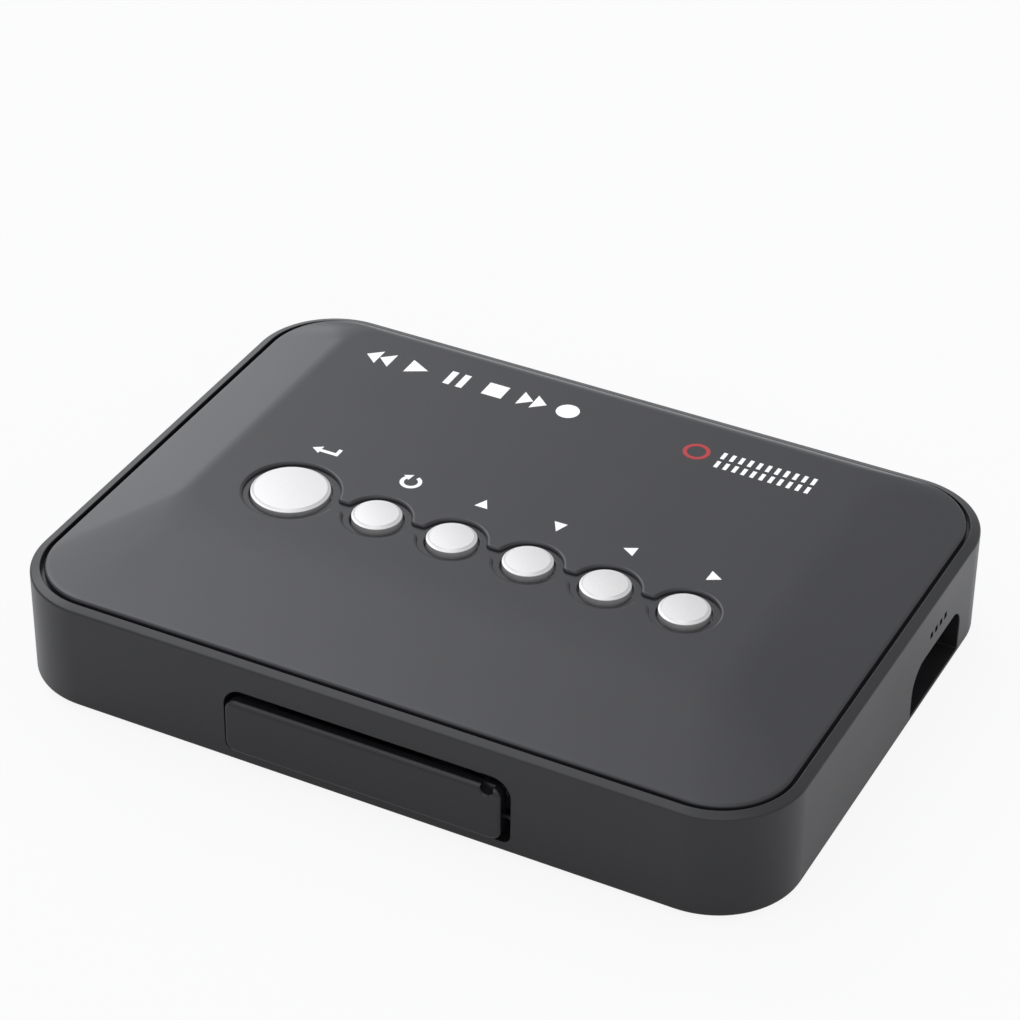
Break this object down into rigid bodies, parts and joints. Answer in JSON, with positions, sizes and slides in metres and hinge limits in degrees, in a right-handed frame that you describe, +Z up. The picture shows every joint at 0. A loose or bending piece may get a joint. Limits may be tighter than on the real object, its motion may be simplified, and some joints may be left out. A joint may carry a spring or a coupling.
{
  "type": "media player",
  "caption": "Small flat desktop media player: crowned top plate with a row of round push buttons, hinged front flap over a card slot, side notch with a host socket.",
  "frame": {"origin": "on the table, under the middle of the bounding box", "axes": "+X to the player's right as seen from its front, +Y to the back, +Z up; the front flap looks along -Y"},
  "size_m": [0.12, 0.09, 0.0203],
  "materials": {
    "case_gloss": "high-gloss black moulded plastic",
    "plate_gloss": "high-gloss charcoal moulded plastic",
    "flap_gloss": "high-gloss black moulded plastic",
    "base_textured": "fine-textured black moulded plastic",
    "foot_rubber": "dark grey rubber",
    "screw_steel": "black zinc plated steel",
    "board_laminate": "green solder mask on glass-fibre laminate",
    "socket_moulding": "black socket moulding",
    "socket_steel": "tin plated sheet steel",
    "contact_gold": "gold plated spring contacts",
    "ir_resin": "dark infrared-clear resin",
    "clear_acrylic": "clear acrylic",
    "chip_moulding": "black epoxy chip moulding",
    "pad_silicone": "blue-grey silicone pad",
    "sink_aluminium": "plain aluminium",
    "coil_ferrite": "grey ferrite",
    "cap_silver": "silver lacquered plastic",
    "switch_moulding": "black switch moulding"
  },
  "bodies": {
    "case": {"main_shell": "case_gloss", "top_plate": "plate_gloss", "base_plate": "base_textured", "rubber_foot_front_left": "foot_rubber", "rubber_foot_back_left": "foot_rubber", "rubber_foot_front_right": "foot_rubber", "rubber_foot_back_right": "foot_rubber", "case_screws": "screw_steel", "port_panel": "base_textured", "main_board": "board_laminate", "board_screws": "screw_steel", "card_socket_base": "socket_moulding", "card_socket_cover": "socket_steel", "card_contacts": "contact_gold", "ir_receiver": "ir_resin", "light_pipe": "clear_acrylic", "status_lamp": "chip_moulding", "usb_shell": "socket_steel", "usb_tongue": "socket_moulding", "usb_contacts": "contact_gold", "video_shell": "socket_steel", "video_tongue": "socket_moulding", "audio_socket": "socket_moulding", "power_socket": "socket_moulding", "power_pin": "socket_steel", "processor": "chip_moulding", "thermal_pad": "pad_silicone", "heat_sink": "sink_aluminium", "memory_chips": "chip_moulding", "flash_chip": "chip_moulding", "hub_chip": "chip_moulding", "crystal": "socket_steel", "capacitors": "sink_aluminium", "coils": "coil_ferrite", "regulators": "chip_moulding", "switch_return": "switch_moulding", "switch_repeat": "switch_moulding", "switch_up": "switch_moulding", "switch_down": "switch_moulding", "switch_left": "switch_moulding", "switch_right": "switch_moulding"},
    "flap": {"front_flap": "flap_gloss"},
    "return_button": {"button_return": "cap_silver", "plunger_return": "switch_moulding"},
    "repeat_button": {"button_repeat": "cap_silver", "plunger_repeat": "switch_moulding"},
    "up_button": {"button_up": "cap_silver", "plunger_up": "switch_moulding"},
    "down_button": {"button_down": "cap_silver", "plunger_down": "switch_moulding"},
    "left_button": {"button_left": "cap_silver", "plunger_left": "switch_moulding"},
    "right_button": {"button_right": "cap_silver", "plunger_right": "switch_moulding"}
  },
  "joints": [
    {"name": "flap_hinge", "type": "hinge", "parent": "case", "child": "flap", "pos_m": [0, -0.0428, 0.0065], "axis": [1, 0, 0], "range_deg": [0, 90]},
    {"name": "return_press", "type": "slide", "parent": "case", "child": "return_button", "axis": [0, 0, -1], "range_m": [0, 0.0005], "stiffness_N_per_m": 1000, "springref_m": -0.0005},
    {"name": "repeat_press", "type": "slide", "parent": "case", "child": "repeat_button", "axis": [0, 0, -1], "range_m": [0, 0.0005], "stiffness_N_per_m": 1000, "springref_m": -0.0005},
    {"name": "up_press", "type": "slide", "parent": "case", "child": "up_button", "axis": [0, 0, -1], "range_m": [0, 0.0005], "stiffness_N_per_m": 1000, "springref_m": -0.0005},
    {"name": "down_press", "type": "slide", "parent": "case", "child": "down_button", "axis": [0, 0, -1], "range_m": [0, 0.0005], "stiffness_N_per_m": 1000, "springref_m": -0.0005},
    {"name": "left_press", "type": "slide", "parent": "case", "child": "left_button", "axis": [0, 0, -1], "range_m": [0, 0.0005], "stiffness_N_per_m": 1000, "springref_m": -0.0005},
    {"name": "right_press", "type": "slide", "parent": "case", "child": "right_button", "axis": [0, 0, -1], "range_m": [0, 0.0005], "stiffness_N_per_m": 1000, "springref_m": -0.0005}
  ]
}
